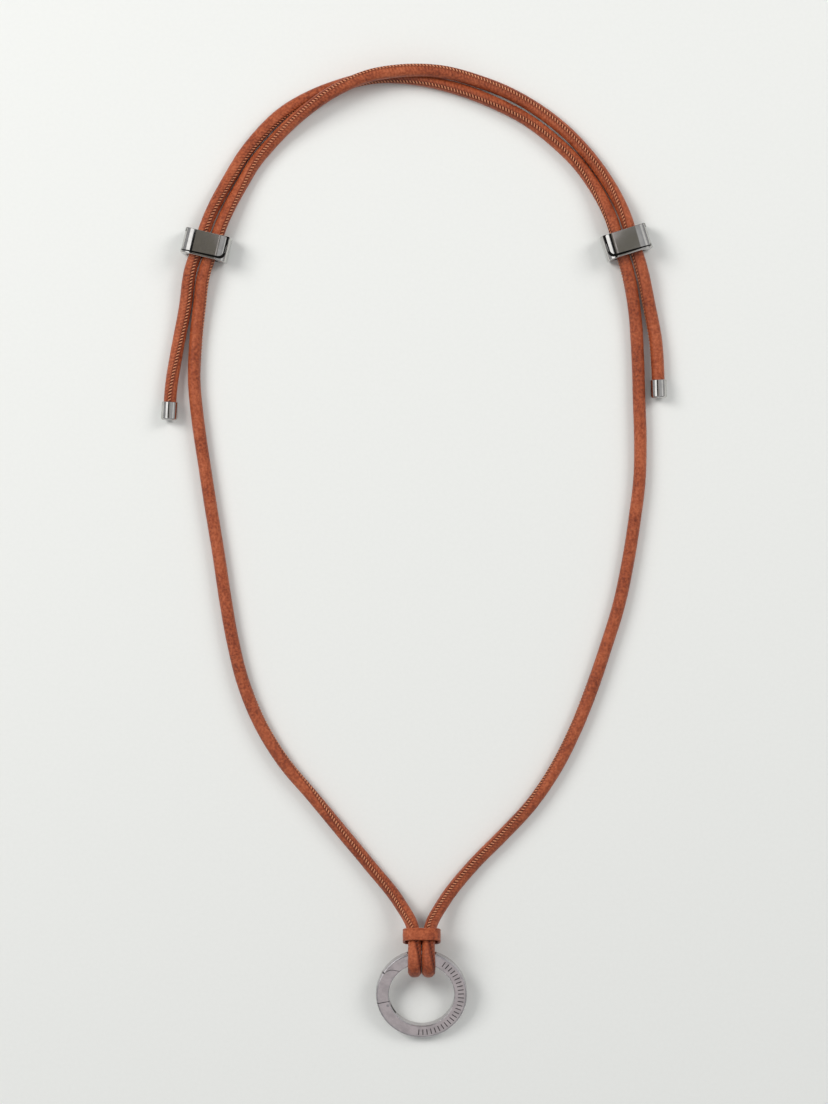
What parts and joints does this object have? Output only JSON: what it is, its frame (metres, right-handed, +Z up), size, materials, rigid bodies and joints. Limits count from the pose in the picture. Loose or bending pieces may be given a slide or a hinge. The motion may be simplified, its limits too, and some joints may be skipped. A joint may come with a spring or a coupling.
{
  "type": "neck cord with sliders and spring-gate ring",
  "caption": "Adjustable round leather neck cord that carries a spring-gate ring, with locking sliders, end caps and a keeper band.",
  "frame": {"origin": "centre of the object's bounding box at its base, on the table that it lies on", "axes": "+Y along the object's length, from the ring up to the top of the loop; +Z up from the table; +X across"},
  "size_m": [0.1552, 0.2978, 0.014],
  "materials": {
    "leather": "tan calf leather, satin, stitched seam",
    "polished_metal": "polished dark nickel plate",
    "pin_steel": "ground steel",
    "spring_steel": "spring steel strip",
    "grip_silicone": "matt black silicone"
  },
  "bodies": {
    "cords": {"left_cord": "leather", "right_cord": "leather", "keeper_band": "leather", "left_end_cap": "polished_metal", "right_end_cap": "polished_metal"},
    "left_slider": {"left_slider_body": "polished_metal", "left_slider_hinge_pin": "pin_steel", "left_slider_grip_insert": "grip_silicone", "left_slider_catch_spring": "spring_steel"},
    "left_cover": {"left_slider_cover": "polished_metal"},
    "right_slider": {"right_slider_body": "polished_metal", "right_slider_hinge_pin": "pin_steel", "right_slider_grip_insert": "grip_silicone", "right_slider_catch_spring": "spring_steel"},
    "right_cover": {"right_slider_cover": "polished_metal"},
    "ring": {"ring_body": "polished_metal", "ring_gate_pin": "pin_steel", "ring_gate_spring": "spring_steel"},
    "gate": {"ring_gate": "polished_metal"}
  },
  "joints": [
    {"name": "left_slider_slide", "type": "slide", "parent": "cords", "child": "left_slider", "axis": [0.3371, 0.9415, 0], "range_m": [-0.004, 0.004]},
    {"name": "left_cover_hinge", "type": "hinge", "parent": "left_slider", "child": "left_cover", "pos_m": [-0.06973, 0.09537, 0.0053], "axis": [-0.2334, -0.9724, 0], "range_deg": [0, 80]},
    {"name": "right_slider_slide", "type": "slide", "parent": "cords", "child": "right_slider", "axis": [-0.3007, 0.9537, 0], "range_m": [-0.004, 0.004]},
    {"name": "right_cover_hinge", "type": "hinge", "parent": "right_slider", "child": "right_cover", "pos_m": [0.07101, 0.09669, 0.0053], "axis": [-0.3007, 0.9537, 0], "range_deg": [0, 80]},
    {"name": "ring_swing", "type": "hinge", "parent": "cords", "child": "ring", "pos_m": [0.0023, -0.1235, 0.0074], "axis": [-1, 0, 0], "range_deg": [-75, 110]},
    {"name": "gate_hinge", "type": "hinge", "parent": "ring", "child": "gate", "pos_m": [-0.00802, -0.13843, 0.00383], "axis": [0, 0.2327, -0.9725], "range_deg": [0, 12], "stiffness_Nm_per_rad": 0.01, "springref_deg": -17.19}
  ]
}
